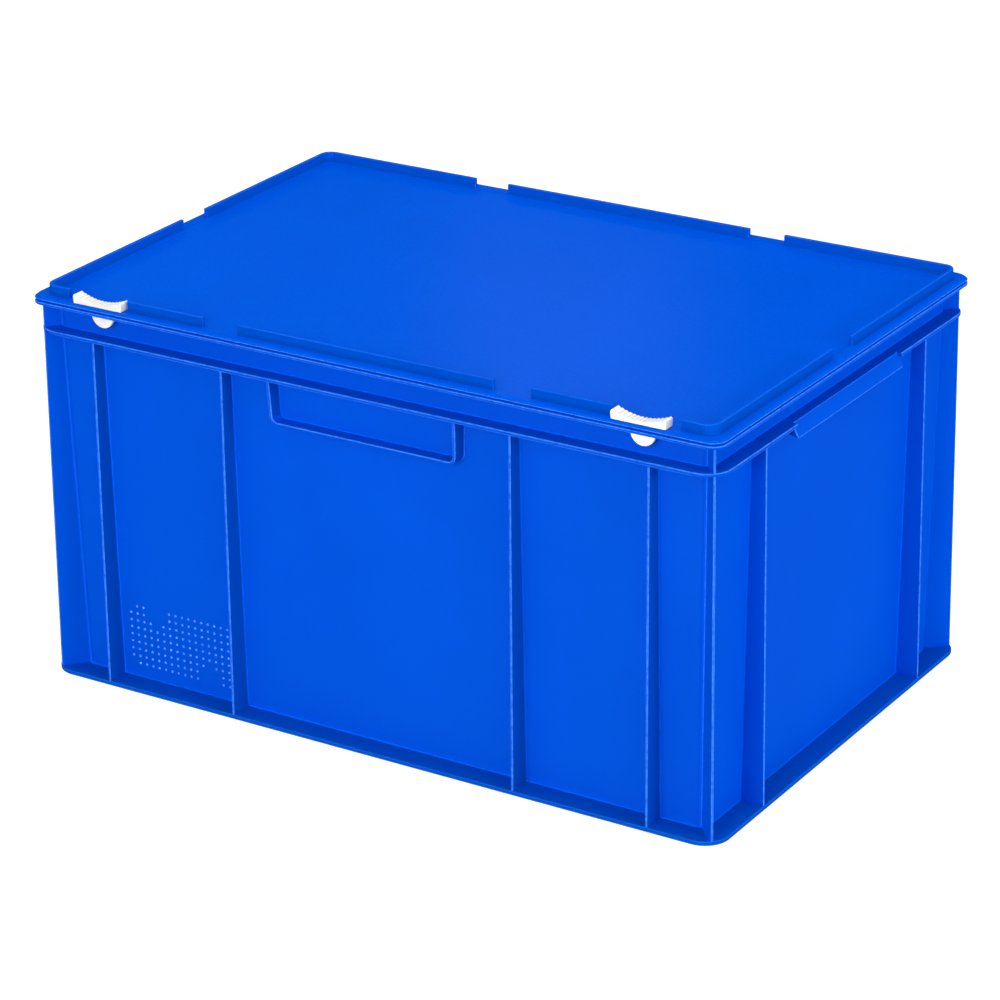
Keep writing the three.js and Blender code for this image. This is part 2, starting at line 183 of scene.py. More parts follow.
def apply_modifiers(obj):
    """Bakes the modifiers into the mesh and removes them."""
    bpy.context.view_layer.update()
    evaluated = obj.evaluated_get(bpy.context.evaluated_depsgraph_get())
    mesh = bpy.data.meshes.new_from_object(evaluated)
    old = obj.data
    obj.modifiers.clear()
    obj.data = mesh
    bpy.data.meshes.remove(old)
    return obj


def bevel(obj, width, segments=2, angle=40.0):
    """Rounds every edge sharper than an angle."""
    modifier = obj.modifiers.new("bevel", "BEVEL")
    modifier.width = width * MM
    modifier.segments = segments
    modifier.limit_method = "ANGLE"
    modifier.angle_limit = math.radians(angle)
    modifier.use_clamp_overlap = True
    return apply_modifiers(obj)


def boolean(obj, others, operation):
    """Joins others to obj, or cuts them from it, and removes them."""
    for other in others:
        modifier = obj.modifiers.new("boolean", "BOOLEAN")
        modifier.operation = operation
        modifier.object = other
        modifier.solver = "MANIFOLD"
    apply_modifiers(obj)
    for other in others:
        bpy.data.objects.remove(other)
    return obj


def finish_shading(obj, angle=32.0, faint_above=400.0, faint_below=-1.0, faint=1.0):
    """Smooth fillets beside flat faces: sharp edges by angle, normals weighted by face area.

    Edges get a painted highlight at full strength between the two heights, and at the faint strength beyond
    them.
    """
    bm = bmesh.new()
    bm.from_mesh(obj.data)
    bmesh.ops.dissolve_degenerate(bm, dist=1e-6, edges=bm.edges)
    for edge in bm.edges:
        sharp = len(edge.link_faces) != 2 or edge.calc_face_angle(0.0) > math.radians(angle)
        edge.smooth = not sharp
    for face in bm.faces:
        face.smooth = True
    bm.to_mesh(obj.data)
    bm.free()
    modifier = obj.modifiers.new("weighted", "WEIGHTED_NORMAL")
    modifier.keep_sharp = True
    modifier.weight = 100
    apply_modifiers(obj)
    mark_curvature(obj, faint_above, faint_below, faint)
    return obj


def mark_curvature(obj, faint_above, faint_below, faint):
    """Stores from 0 to 1 how sharply each face's strip bends: "edge" outwards, "root" inwards. They mask the
    painted edge highlight and the painted root colour.
    """
    facing_down = -0.2
    bm = bmesh.new()
    bm.from_mesh(obj.data)
    edge, root = [], []
    for face in bm.faces:
        bend = sum(e.calc_length() * e.calc_face_angle_signed(0.0) for e in face.edges)
        curvature = bend / max(2.0 * face.calc_area(), 1e-12) * MM
        # Convex strips that don't face down get a painted highlight.
        highlighted = (curvature - EDGE_FROM) / BEND_SPAN if face.normal.z > facing_down else 0.0
        height = face.calc_center_median().z / MM
        strength = 1.0 if faint_below < height < faint_above else faint
        edge.append(min(max(highlighted, 0.0), 1.0) * strength)
        root.append(min(max((-curvature - ROOT_FROM) / BEND_SPAN, 0.0), 1.0))
    bm.free()
    for name, values in (("edge", edge), ("root", root)):
        layer = obj.data.attributes.new(name, "FLOAT", "FACE")
        layer.data.foreach_set("value", values)


def mark_flank_shade(obj, strength_of):
    """Stores how much painted shade each face gets, from 0 to 1, as "flank".

    strength_of takes a face's centre in millimetres and its normal, both with their signs dropped.
    """
    values = []
    for face in obj.data.polygons:
        centre = [abs(c) / MM for c in face.center]
        values.append(strength_of(centre, [abs(c) for c in face.normal]))
    layer = obj.data.attributes.new("flank", "FLOAT", "FACE")
    layer.data.foreach_set("value", values)


def container_flank_shade(centre, normal):
    """Painted shade, darker than the walls' bays, on the rib sides, flange and shelf. The cavity and the lip
    stay plain.
    """
    x, y, z = centre
    inside_x, inside_y = x < HALF_L - WALL_INSET_LOW, y < HALF_W - WALL_INSET_LOW
    if (inside_x and inside_y) or z > LIP_LOW + 1:
        return 0.0
    if z < FLANGE_TOP + 0.2 or (normal[0] > FACING and inside_x):
        return 1.0
    if normal[2] > FACING:
        return 0.5
    return 0.1 if normal[1] > FACING and inside_y else 0.0


def lid_flank_shade(centre, normal):
    """Painted shade on the stacking ring's upright faces, strongest at their foot, and none on the lid's top.
    """
    if centre[2] < LID_SUNK or normal[2] > 0.5:
        return 0.0
    return 1.0 if centre[2] < RING_DARK_TO else 0.55


# ---------------------------------------------------------------- container

def body_radius(inset):
    """Corner radius at an inset: the flanges' at the edge, blending to the wall's."""
    blend = min(max(inset / WALL_INSET_TOP, 0.0), 1.0)
    return CORNER_R + (WALL_R - CORNER_R) * blend


def shell():
    """The moulding without its ribs: foot, flange, wall, shelf, lip and cavity, as one swept skin."""
    fillet, edge, floor_fillet = 0.8, 0.7, 2.0
    lip_drop, lip_run = 0.9, 2.4
    outer = []

    def add(inset, z, r=None):
        outer.append((inset, z, body_radius(inset) if r is None else r))

    def rounded_edge(inset, z_low, z_high, radius):
        """Rounded outer edge of a plate, between its two faces."""
        for t in QUARTER:
            add(inset + edge - edge * math.sin(t), z_low + edge - edge * math.cos(t), radius)
        for t in QUARTER:
            add(inset + edge - edge * math.cos(t), z_high - edge + edge * math.sin(t), radius)

    foot_in = FOOT_INSET + FOOT_T
    add(foot_in, FLOOR_LOW, INNER_R)
    for t in QUARTER:
        add(foot_in - edge + edge * math.cos(t), edge - edge * math.sin(t), INNER_R)
    for t in QUARTER:
        add(FOOT_INSET + edge - edge * math.sin(t), edge - edge * math.cos(t), WALL_R)
    for t in QUARTER:
        add(FOOT_INSET - fillet + fillet * math.cos(t), FOOT_H - fillet + fillet * math.sin(t), WALL_R)
    rounded_edge(0.0, FOOT_H, FLANGE_TOP, CORNER_R)
    base = wall_inset(FLANGE_TOP + fillet)
    for t in QUARTER:
        add(base - fillet + fillet * math.sin(t), FLANGE_TOP + fillet - fillet * math.cos(t), WALL_R)
    top = wall_inset(SHELF_LOW - fillet)
    for t in QUARTER:
        add(top - fillet + fillet * math.cos(t), SHELF_LOW - fillet + fillet * math.sin(t))
    rounded_edge(SHELF_INSET, SHELF_LOW, SHELF_TOP, CORNER_R)
    base = wall_inset(SHELF_TOP + fillet)
    for t in QUARTER:
        add(base - fillet + fillet * math.sin(t), SHELF_TOP + fillet - fillet * math.cos(t))
    top = wall_inset(LIP_LOW - fillet)
    for t in QUARTER:
        add(top - fillet + fillet * math.cos(t), LIP_LOW - fillet + fillet * math.sin(t))
    rounded_edge(LIP_INSET, LIP_LOW, RIM_TOP - lip_drop, LID_R)
    add(LIP_INSET + lip_run, RIM_TOP, LID_R)
    inner = wall_inset(RIM_TOP - edge) + WALL_T
    for t in QUARTER:
        add(inner - edge + edge * math.sin(t), RIM_TOP - edge + edge * math.cos(t), INNER_R)
    inner = wall_inset(FLOOR_TOP + floor_fillet) + WALL_T
    for t in QUARTER:
        z = FLOOR_TOP + floor_fillet - floor_fillet * math.sin(t)
        add(inner + floor_fillet - floor_fillet * math.cos(t), z, INNER_R)
    return footprint_loft("container", outer)


def rib_section(depth, thick=RIB_T):
    """Outline of a rib across its thickness, with flared roots and a round tip, as (offset, distance out)."""
    half, flare, tip = thick / 2, 0.9, 0.7
    side = [(half + flare, -RIB_SUNK), (half + flare, 0.0)]
    side += [(half + flare * (1 - math.sin(math.radians(a))), flare * (1 - math.cos(math.radians(a))))
             for a in (30, 60, 90)]
    side += [(half - tip * (1 - math.cos(math.radians(a))), depth - tip * (1 - math.sin(math.radians(a))))
             for a in (0, 30, 60, 90)]
    return side + [(-u, v) for u, v in reversed(side)]


def upright(name, origin, outward, z0, z1, root=wall_inset):
    """Rib that stands on a drafted wall.

    origin is its place on the footprint's outline, outward its unit direction, and root gives how far in from
    the origin the wall is at a height.
    """
    across = Vector((-outward[1], outward[0]))
    rings = []
    for z in (z0, z1):
        setback = tip_inset(z)
        depth = root(z) - setback
        ring = []
        for offset, out in rib_section(depth):
            reach = out - depth - setback
            x = origin[0] + outward[0] * reach + across[0] * offset
            y = origin[1] + outward[1] * reach + across[1] * offset
            ring.append((x, y, z))
        rings.append(ring)
    return loft(name, rings)


def collar(side):
    """Hand collar: a rib bent into a U under the shelf."""
    turn_x, turn_z, end_z, steps = COLLAR_BASE_HALF - COLLAR_R, COLLAR_LOW + COLLAR_R, SHELF_LOW + 1.5, 8
    path = [(-COLLAR_TOP_HALF, end_z)]
    path += arc(-turn_x, turn_z, COLLAR_R, 180, 270, steps)
    path += arc(turn_x, turn_z, COLLAR_R, 270, 360, steps)
    path += [(COLLAR_TOP_HALF, end_z)]
    rings = []
    for i, (x, z) in enumerate(path):
        before, after = path[max(i - 1, 0)], path[min(i + 1, len(path) - 1)]
        along = Vector((after[0] - before[0], after[1] - before[1])).normalized()
        normal = (along[1], -along[0])
        ring = []
        inset = wall_inset(z)
        setback = RIB_TIP_TOP + max(SHELF_LOW - z, 0.0) * COLLAR_LEAN
        for offset, out in rib_section(inset - setback, COLLAR_T):
            ring.append((x + normal[0] * offset, side * (HALF_W - inset + out), z + normal[1] * offset))
        rings.append(ring)
    return loft("collar", rings)


def apron(side):
    """Grip under a short side's shelf: its edge turned down and out, with a web at each end."""
    lip = [(APRON_CUT_FROM, SHELF_TOP), (300.0, 285.0), (297.0, 285.0), (291.5, 293.3), (290.5, SHELF_TOP)]
    outer = prism("apron", [(side * u, v) for u, v in lip], "Y", -APRON_HALF, APRON_HALF)
    bevel(outer, 0.7)
    web = [(283.8, 294.8), (293.1, 294.8), (298.9, 285.7), (297.2, 285.1), (283.8, 289.0)]
    web_end, web_t = APRON_HALF - 0.2, 3.0
    webs = []
    for end in (-1, 1):
        y = sorted((end * web_end, end * (web_end - web_t)))
        webs.append(prism("web", [(side * u, v) for u, v in web], "Y", *y))
        bevel(webs[-1], 0.5)
    return [outer, *webs]


def under_ribs():
    """Crossed ribs under the floor."""
    t, top = UNDER_RIB_HALF_T, UNDER_RIB_TOP
    end_x, end_y = HALF_L - 15.0, HALF_W - 15.0
    ribs = [block("foot_rib", x - t, x + t, -end_y, end_y, 0.0, top) for x in (-186, -62, 62, 186)]
    ribs += [block("foot_rib", -end_x, end_x, y - t, y + t, 0.0, top) for y in (-62, 62)]
    return ribs


def rim_cuts():
    """Gaps in the shelf over the aprons, slots in the lip for the latches and notches for the hinges."""
    lip_z = (LIP_LOW - PAST, RIM_TOP + PAST)
    cuts = []
    for side in (-1, 1):
        x = sorted((side * APRON_CUT_FROM, side * (HALF_L + PAST)))
        cuts.append(block("cut", *x, -APRON_CUT_HALF, APRON_CUT_HALF, SHELF_LOW - PAST, SHELF_TOP + PAST))
        x = (side * LATCH_X - SLOT_HALF, side * LATCH_X + SLOT_HALF)
        cuts.append(block("cut", *x, HOOK_Y - SLOT_HALF_T, HOOK_Y + SLOT_HALF_T, *lip_z))
        x = (side * HINGE_X - NOTCH_HALF, side * HINGE_X + NOTCH_HALF)
        cuts.append(block("cut", *x, HINGE_Y - NOTCH_DEPTH, HALF_W + PAST, *lip_z))
    return cuts


def make_container():
    """Body moulding: the shell with its ribs, corner fins, hand collars and grip aprons."""
    body = shell()
    parts = []
    z0, z1 = FLANGE_TOP - RIB_SUNK, SHELF_LOW + RIB_SUNK
    for side in (-1, 1):
        for x in LONG_RIBS:
            parts.append(upright("rib", (x, side * HALF_W), (0, side), z0, z1))
        for y in SHORT_RIBS:
            parts.append(upright("rib", (side * HALF_L, y), (side, 0), z0, z1))
        parts.append(collar(side))
    diagonal = math.sqrt(0.5)
    reach = CORNER_R * (1 - diagonal)

    def fin_root(z):
        inset = wall_inset(z)
        return (inset + WALL_R * (1 - diagonal) - reach) / diagonal

    for sx in (-1, 1):
        for sy in (-1, 1):
            tip = (sx * (HALF_L - reach), sy * (HALF_W - reach))
            out = (sx * diagonal, sy * diagonal)
            parts.append(upright("fin", tip, out, z0, LIP_LOW + RIB_SUNK, fin_root))
    boolean(body, rim_cuts(), "DIFFERENCE")
    for side in (-1, 1):
        parts += apron(side)
    boolean(body, parts + under_ribs(), "UNION")
    # The painted edge highlight is weak below the flange's top.
    finish_shading(body, faint_below=FLANGE_TOP + 0.3, faint=0.15)
    mark_flank_shade(body, container_flank_shade)
    return body


# ---------------------------------------------------------------- lid

def ring_arc(points):
    """Upright wall along a path on the lid, with a rounded top."""
    half, tip, flare, sunk = RING_T / 2, 0.8, 0.6, 0.6
    section = [(half + flare, LID_SUNK - sunk), (half + flare, LID_SUNK)]
    section += [(half, LID_SUNK + flare), (half, RING_DARK_TO)]
    section += arc(half - tip, RING_TOP - tip, tip, 0, 90, 3)
    section += [(-u, v) for u, v in reversed(section)]
    rings = []
    for i, p in enumerate(points):
        before, after = points[max(i - 1, 0)], points[min(i + 1, len(points) - 1)]
        along = Vector((after[0] - before[0], after[1] - before[1])).normalized()
        normal = (along[1], -along[0])
        rings.append([(p[0] + normal[0] * u, p[1] + normal[1] * u, v) for u, v in section])
    return bevel(loft("ring", rings), 0.6, 3, 60.0)


def ring_pieces():
    """Middle lines of the stacking ring's eight pieces, with gaps on all sides and at the latches."""
    hx, hy, r, steps = HALF_L - RING_MID, HALF_W - RING_MID, 8.5, 8
    gap_in, gap_out, gap_side = 111.5, 142.5, 15.5
    left_out, left_in, right_in, right_out = -267.0, -212.5, 209.5, 264.0
    front_right = arc(hx - r, r - hy, r, -90, 0, steps)
    back_right = arc(hx - r, hy - r, r, 0, 90, steps)
    back_left = arc(r - hx, hy - r, r, 90, 180, steps)
    front_left = arc(r - hx, r - hy, r, 180, 270, steps)
    return [
        [(-gap_in, -hy), (gap_in, -hy)],
        [(gap_out, -hy), (right_in, -hy)],
        [(left_in, -hy), (-gap_out, -hy)],
        [(right_out, -hy), *front_right, (hx, -gap_side)],
        [(hx, gap_side), *back_right, (gap_out, hy)],
        [(gap_in, hy), (-gap_in, hy)],
        [(-gap_out, hy), *back_left, (-hx, gap_side)],
        [(-hx, -gap_side), *front_left, (left_out, -hy)],
    ]


def lid_plate():
    """The lid without its ring: rounded edge, sunken top and, below, the rib that locates it."""
    edge, chamfer = 0.6, 0.8
    profile = [
        (LOOP_IN, LID_LOW, 6.0),
        (LOOP_IN, LOOP_LOW + 0.5, 6.0),
        (LOOP_IN - 0.5, LOOP_LOW, 6.5),
        (LOOP_OUT + 0.5, LOOP_LOW, 8.0),
        (LOOP_OUT, LOOP_LOW + 0.5, 8.5),
        (LOOP_OUT, LID_LOW, 8.5),
    ]
    rim, rim_z = LIP_INSET + edge, LID_LOW + chamfer
    profile += [(LIP_INSET + 0.1 + chamfer, LID_LOW, LID_R), (LIP_INSET + 0.1, rim_z, LID_R)]
    profile += [(rim - edge * math.cos(t), rim_z + edge * math.sin(t), LID_R) for t in QUARTER[:3]]
    step = RING_MID + RING_T / 2
    profile += [
        (LIP_INSET + 1.7, LID_TOP, LID_R),
        (step - 0.5, LID_TOP, 7.5),
        (step + 0.2, LID_TOP - 0.3, 7.2),
        (step + 0.5, LID_SUNK + 0.4, 7.0),
        (step + 1.2, LID_SUNK, 7.0),
    ]
    return footprint_loft("lid_cover", profile)


def stiffeners():
    """Crossed ribs under the lid, inside the locating rib."""
    half_t, end_x, end_y = 1.1, 277.0, 177.0
    z = (LOOP_LOW + 1, LID_LOW + 1)
    ribs = [block("stiffener", x - half_t, x + half_t, -end_y, end_y, *z) for x in (-186, -93, 0, 93, 186)]
    ribs += [block("stiffener", -end_x, end_x, y - half_t, y + half_t, *z) for y in (-60, 60)]
    return ribs


def hinge_arm(side):
    """Arm that hangs from the lid's rear edge and ends in a barrel round the pin."""
    neck_half, neck_top, open_angle, steps = 2, LID_LOW + 1, 55, 20
    section = [(HINGE_Y - neck_half, neck_top)]
    section += arc(HINGE_Y, HINGE_Z, BARREL_R, 180 - open_angle, 360 + open_angle, steps)
    section += [(HINGE_Y + neck_half, neck_top)]
    return prism("arm", section, "X", side * HINGE_X - ARM_HALF, side * HINGE_X + ARM_HALF)


def make_lid():
    """Lid moulding: the plate with its stacking ring, stiffening ribs, hinge arms and latch slots."""
    body = lid_plate()
    parts = [ring_arc(p) for p in ring_pieces()] + stiffeners()
    parts += [hinge_arm(side) for side in (-1, 1)]
    boolean(body, parts, "UNION")
    pocket_half_t, pocket_depth = 4, 1.2
    slot_z, pocket_z = (LID_LOW - PAST, LID_TOP + PAST), (LID_LOW - PAST, LID_LOW + pocket_depth)
    cuts = []
    for side in (-1, 1):
        x = (side * LATCH_X - SLOT_HALF, side * LATCH_X + SLOT_HALF)
        cuts.append(block("cut", *x, HOOK_Y - SLOT_HALF_T, HOOK_Y + SLOT_HALF_T, *slot_z))
        cuts.append(block("cut", *x, HOOK_Y - pocket_half_t, HOOK_Y + pocket_half_t, *pocket_z))
        cuts.append(hinge_bore(side * HINGE_X, ARM_HALF + PAST))
    boolean(body, cuts, "DIFFERENCE")
    # The painted edge highlight is weak on the ring, above the lid's top.
    finish_shading(body, faint_above=LID_TOP + 1, faint=0.12)
    mark_flank_shade(body, lid_flank_shade)
    return body


# ---------------------------------------------------------------- latches

def grip_outline():
    """Front outline of a latch's grip about its middle: a saddle with grooves across its top."""
    base, top = GRIP_BASE, 329.0
    low_half, top_half, saddle = 22.0, 22.4, 4.6
    groove_pitch, groove_depth, grooves = 3.2, 0.75, 14
    points = [(-low_half, base), (low_half, base), (top_half, top - 1.6), (top_half - 0.6, top - 0.4)]
    span = top_half - 1.4
    steps = grooves * 6
    for i in range(steps + 1):
        u = span * (1 - 2 * i / steps)
        v = top - saddle * (1 - (u / span) ** 2)
        phase = abs(math.sin(math.pi * u / groove_pitch))
        inside = abs(u) < groove_pitch * (grooves / 2 - 0.5)
        points.append((u, v - (groove_depth * (1 - phase) ** 0.8 if inside else 0.0)))
    return points + [(-top_half + 0.6, top - 0.4), (-top_half, top - 1.6)]


def make_latch(name, x):
    """Sliding latch: grip on the lid, stem through it, barbs in its pocket and half-round hook below."""
    shift, grip_front, grip_back = -1.5, -197.0, -187.0
    grip = prism(name, [(x + shift + u, v) for u, v in grip_outline()], "Y", grip_front, grip_back)
    bevel(grip, 0.35, 2, 60.0)
    hook_top, hook_r = LIP_LOW - CLEAR, 10.2
    stem_x, stem_y = (x - STEM_HALF, x + STEM_HALF), (HOOK_Y - STEM_HALF_T, HOOK_Y + STEM_HALF_T)
    hook = prism("hook", arc(x, hook_top, hook_r, 180, 360, 24), "Y", *stem_y)
    bevel(hook, 0.4, 2, 60.0)
    stem = block("stem", *stem_x, *stem_y, hook_top - 1, GRIP_BASE + 1)
    barb_half_t = 3.4
    barbs = block("barbs", *stem_x, HOOK_Y - barb_half_t, HOOK_Y + barb_half_t, LID_LOW + 0.1, LID_LOW + 0.9)
    boolean(grip, [hook, stem, barbs], "UNION")
    return finish_shading(grip)


# ---------------------------------------------------------------- raised dots

def make_dots():
    """Field of small raised domes on the front wall, a plain grid with a stepped outline."""
    pitch, first_x, top_z, radius, sides = 6.15, -231.6, 72.0, 0.95, 12
    rings = ((0.3, 1.25), (0.0, 1.0), (-0.5, 0.85), (-0.8, 0.45))
    turns = [math.tau * k / sides for k in range(sides)]
    # First and last row of each column.
    spans = [(1, 7), (0, 8), (0, 8), (2, 8), (3, 8), (2, 8), (0, 8), (0, 8),
             (0, 8), (0, 8), (0, 8), (0, 6), (0, 5), (0, 6), (0, 8), (0, 8)]
    bm = bmesh.new()
    for column, (start, end) in enumerate(spans):
        for row in range(start, end + 1):
            x, z = first_x + pitch * column, top_z - pitch * row
            y = -(HALF_W - wall_inset(z))
            rows = []
            for lift, scale in rings:
                r = radius * scale
                ring = [(x + r * math.cos(a), y + lift, z + r * math.sin(a)) for a in turns]
                rows.append([bm.verts.new(p) for p in ring])
            for low, high in zip(rows, rows[1:]):
                for i in range(sides):
                    bm.faces.new((low[i], low[(i + 1) % sides], high[(i + 1) % sides], high[i]))
            bm.faces.new(rows[-1])
            bm.faces.new(list(reversed(rows[0])))
    return finish_shading(new_object("dot_field", bm), 80.0)


# ---------------------------------------------------------------- hinges

def hinge_bore(x, half):
    """Cutter for a pin's bore."""
    return prism("bore", circle(HINGE_Y, HINGE_Z, HINGE_BORE_R), "X", x - half, x + half)


def make_clip(name, x):
    """Hinge block in the rear channel: two cheeks with the pin's bore, joined by a back and a floor."""
    half, room_half, wall = 26, 19, 1.4
    z0, z1 = SHELF_TOP + CLEAR, LIP_LOW - CLEAR
    back, face, front = 186.5, 189.0, 199.2
    section = [
        (back, z0),
        (front, z0),
        (front, HINGE_Z + 2),
        (front - 2, HINGE_Z + 4),
        (face + 2, z1),
        (back, z1),
    ]
    clip = prism(name, section, "X", x - half, x + half)
    room_x = (x - room_half, x + room_half)
    cuts = [
        block("cut", *room_x, face, front - wall, z0 + wall, z1 + PAST),
        block("cut", *room_x, front - wall - PAST, front + PAST, HINGE_Z - 3.6, z1 + PAST),
    ]
    boolean(clip, cuts, "DIFFERENCE")
    bevel(clip, 0.35, 2, 30.0)
    boolean(clip, [hinge_bore(x, half + PAST)], "DIFFERENCE")
    return finish_shading(clip)


def make_pin(name, x):
    """Steel pin with chamfered ends."""
    half, chamfer = 25.0, 0.3
    tip_r = HINGE_PIN_R - chamfer
    stations = (
        (x - half, tip_r),
        (x - half + chamfer, HINGE_PIN_R),
        (x + half - chamfer, HINGE_PIN_R),
        (x + half, tip_r),
    )
    rings = [[(px, u, v) for u, v in circle(HINGE_Y, HINGE_Z, r)] for px, r in stations]
    return finish_shading(loft(name, rings), 60.0)


# ---------------------------------------------------------------- materials

SHEEN_TINT = (0.12, 0.4, 1.0)
# The flank colour is painted shade and the edge colour a painted highlight. The speckle is grain.
SPECKLE_BLUE, FLANK_SHADE_BLUE, EDGE_HIGHLIGHT_BLUE = (0.0, 0.2, 1.0), (0.0, 0.076, 0.44), (0.05, 0.24, 1.0)
# Root colours are painted light: a lighter blue paints a highlight in the walls' and dots' roots, a darker
# one paints shade at the lid's.
ROOT_HIGHLIGHT_BLUE, LID_ROOT_SHADE_BLUE = (0.0, 0.13, 0.9), (0.0, 0.03, 0.36)
IVORY_DARK, IVORY_LIGHT = (0.68, 0.665, 0.61), (0.73, 0.715, 0.67)
# The ivory root colour is painted shade in the latch's hollows, and the ivory edge colour a painted
# highlight.
IVORY_ROOT_SHADE, IVORY_EDGE_HIGHLIGHT = (0.56, 0.55, 0.50), (0.80, 0.79, 0.76)
STEEL_DARK, STEEL_LIGHT = (0.42, 0.43, 0.45), (0.6, 0.61, 0.63)
PAPER_DARK, PAPER_LIGHT = (0.24, 0.24, 0.24), (0.26, 0.26, 0.26)


class Nodes:
    """Small helper that adds nodes to a material and links them."""

    def __init__(self, name):
        self.material = bpy.data.materials.new(name)
        self.material.use_nodes = True
        self.tree = self.material.node_tree
        self.tree.nodes.clear()
        self.output = self.tree.nodes.new("ShaderNodeOutputMaterial")
        self.shader = self.add("ShaderNodeBsdfPrincipled")
        self.link(self.shader.outputs["BSDF"], self.output.inputs["Surface"])
        self.coords = self.add("ShaderNodeTexCoord").outputs["Object"]

    def add(self, kind, **settings):
        node = self.tree.nodes.new(kind)
        for key, value in settings.items():
            setattr(node, key, value)
        return node

    def link(self, a, b):
        self.tree.links.new(a, b)

    def noise(self, scale, detail=2.0, roughness=0.5):
        node = self.add("ShaderNodeTexNoise")
        node.inputs["Scale"].default_value = scale
        node.inputs["Detail"].default_value = detail
        node.inputs["Roughness"].default_value = roughness
        self.link(self.coords, node.inputs["Vector"])
        return node.outputs["Fac"]

    def remap(self, value, low, high, out_low, out_high):
        node = self.add("ShaderNodeMapRange")
        node.inputs["From Min"].default_value = low
        node.inputs["From Max"].default_value = high
        node.inputs["To Min"].default_value = out_low
        node.inputs["To Max"].default_value = out_high
        self.link(value, node.inputs["Value"])
        return node.outputs["Result"]

    def mix(self, factor, a, b):
        node = self.add("ShaderNodeMix", data_type="RGBA")
        self.link(factor, node.inputs["Factor"])
        for socket, value in ((node.inputs["A"], a), (node.inputs["B"], b)):
            if isinstance(value, tuple):
                socket.default_value = (*value, 1.0)
            else:
                self.link(value, socket)
        return node.outputs["Result"]

    def attribute(self, name):
        return self.add("ShaderNodeAttribute", attribute_name=name).outputs["Fac"]

    def times(self, a, b):
        node = self.add("ShaderNodeMath", operation="MULTIPLY")
        self.link(a, node.inputs[0])
        if isinstance(b, float):
            node.inputs[1].default_value = b
        else:
            self.link(b, node.inputs[1])
        return node.outputs["Value"]

    def bump(self, height, strength, distance):
        node = self.add("ShaderNodeBump")
        node.inputs["Strength"].default_value = strength
        node.inputs["Distance"].default_value = distance
        self.link(height, node.inputs["Height"])
        return node.outputs["Normal"]


def moulded_plastic(name, dark, light, root, roughness, grain_scale, grain, speckle, specular):
    """Pigmented polypropylene: cloudy pigment, speckled grain, painted edge highlights, painted root colour
    and painted flank shade.

    grain is the height of the grain's bumps in millimetres, and speckle the strength of its brighter points.
    """
    n = Nodes(name)
    cloud = n.remap(n.noise(7.0, 3.0, 0.6), 0.3, 0.7, 0.0, 1.0)
    colour = n.mix(cloud, dark, light)
    fleck = n.remap(n.noise(grain_scale, 2.0, 0.6), 0.35, 0.65, 0.0, speckle)
    colour = n.mix(fleck, colour, SPECKLE_BLUE)
    # Painted shade on the flanks.
    colour = n.mix(n.times(n.attribute("flank"), 0.8), colour, FLANK_SHADE_BLUE)
    # Painted root colour: a highlight or shade, as the root colour given.
    colour = n.mix(n.times(n.attribute("root"), 0.5), colour, root)
    # Painted highlight on convex edges, broken into dashes by noise.
    highlight_break = n.remap(n.noise(260.0, 3.0, 0.7), 0.35, 0.6, 0.35, 1.0)
    colour = n.mix(n.times(n.attribute("edge"), highlight_break), colour, EDGE_HIGHLIGHT_BLUE)
    n.link(colour, n.shader.inputs["Base Color"])
    uneven = n.noise(grain_scale * 0.5, 3.0, 0.6)
    n.link(n.remap(uneven, 0.3, 0.7, roughness - 0.04, roughness + 0.05), n.shader.inputs["Roughness"])
    n.shader.inputs["Specular IOR Level"].default_value = specular
    n.shader.inputs["Specular Tint"].default_value = (*SHEEN_TINT, 1.0)
    n.shader.inputs["IOR"].default_value = 1.49
    n.link(n.bump(n.noise(grain_scale, 2.0, 0.6), 1.0, grain * MM), n.shader.inputs["Normal"])
    return n.material


def latch_plastic(name):
    """Natural white plastic with painted shade in the hollows, a painted highlight on the edges and a soft
    gloss.
    """
    n = Nodes(name)
    cloud = n.remap(n.noise(60.0, 3.0, 0.6), 0.3, 0.7, 0.0, 1.0)
    colour = n.mix(cloud, IVORY_DARK, IVORY_LIGHT)
    # Painted shade in the hollows and a painted highlight on the edges.
    colour = n.mix(n.times(n.attribute("root"), 0.7), colour, IVORY_ROOT_SHADE)
    colour = n.mix(n.times(n.attribute("edge"), 0.6), colour, IVORY_EDGE_HIGHLIGHT)
    n.link(colour, n.shader.inputs["Base Color"])
    n.link(n.remap(n.noise(400.0, 3.0), 0.3, 0.7, 0.34, 0.42), n.shader.inputs["Roughness"])
    n.shader.inputs["Specular IOR Level"].default_value = 0.4
    n.link(n.bump(n.noise(900.0), 0.15, 0.1 * MM), n.shader.inputs["Normal"])
    return n.material


def drawn_steel(name):
    """Drawn wire: bright steel with fine lines along its length."""
    n = Nodes(name)
    along, across = 40.0, 2500.0
    stretch = n.add("ShaderNodeMapping")
    stretch.inputs["Scale"].default_value = (along, across, across)
    n.link(n.coords, stretch.inputs["Vector"])
    lines = n.add("ShaderNodeTexNoise")
    lines.inputs["Scale"].default_value = 1.0
    n.link(stretch.outputs["Vector"], lines.inputs["Vector"])
    streak = lines.outputs["Fac"]
    n.link(n.mix(streak, STEEL_DARK, STEEL_LIGHT), n.shader.inputs["Base Color"])
    n.link(n.remap(streak, 0.3, 0.7, 0.22, 0.38), n.shader.inputs["Roughness"])
    n.shader.inputs["Metallic"].default_value = 1.0
    n.link(n.bump(streak, 0.2, 0.03 * MM), n.shader.inputs["Normal"])
    return n.material


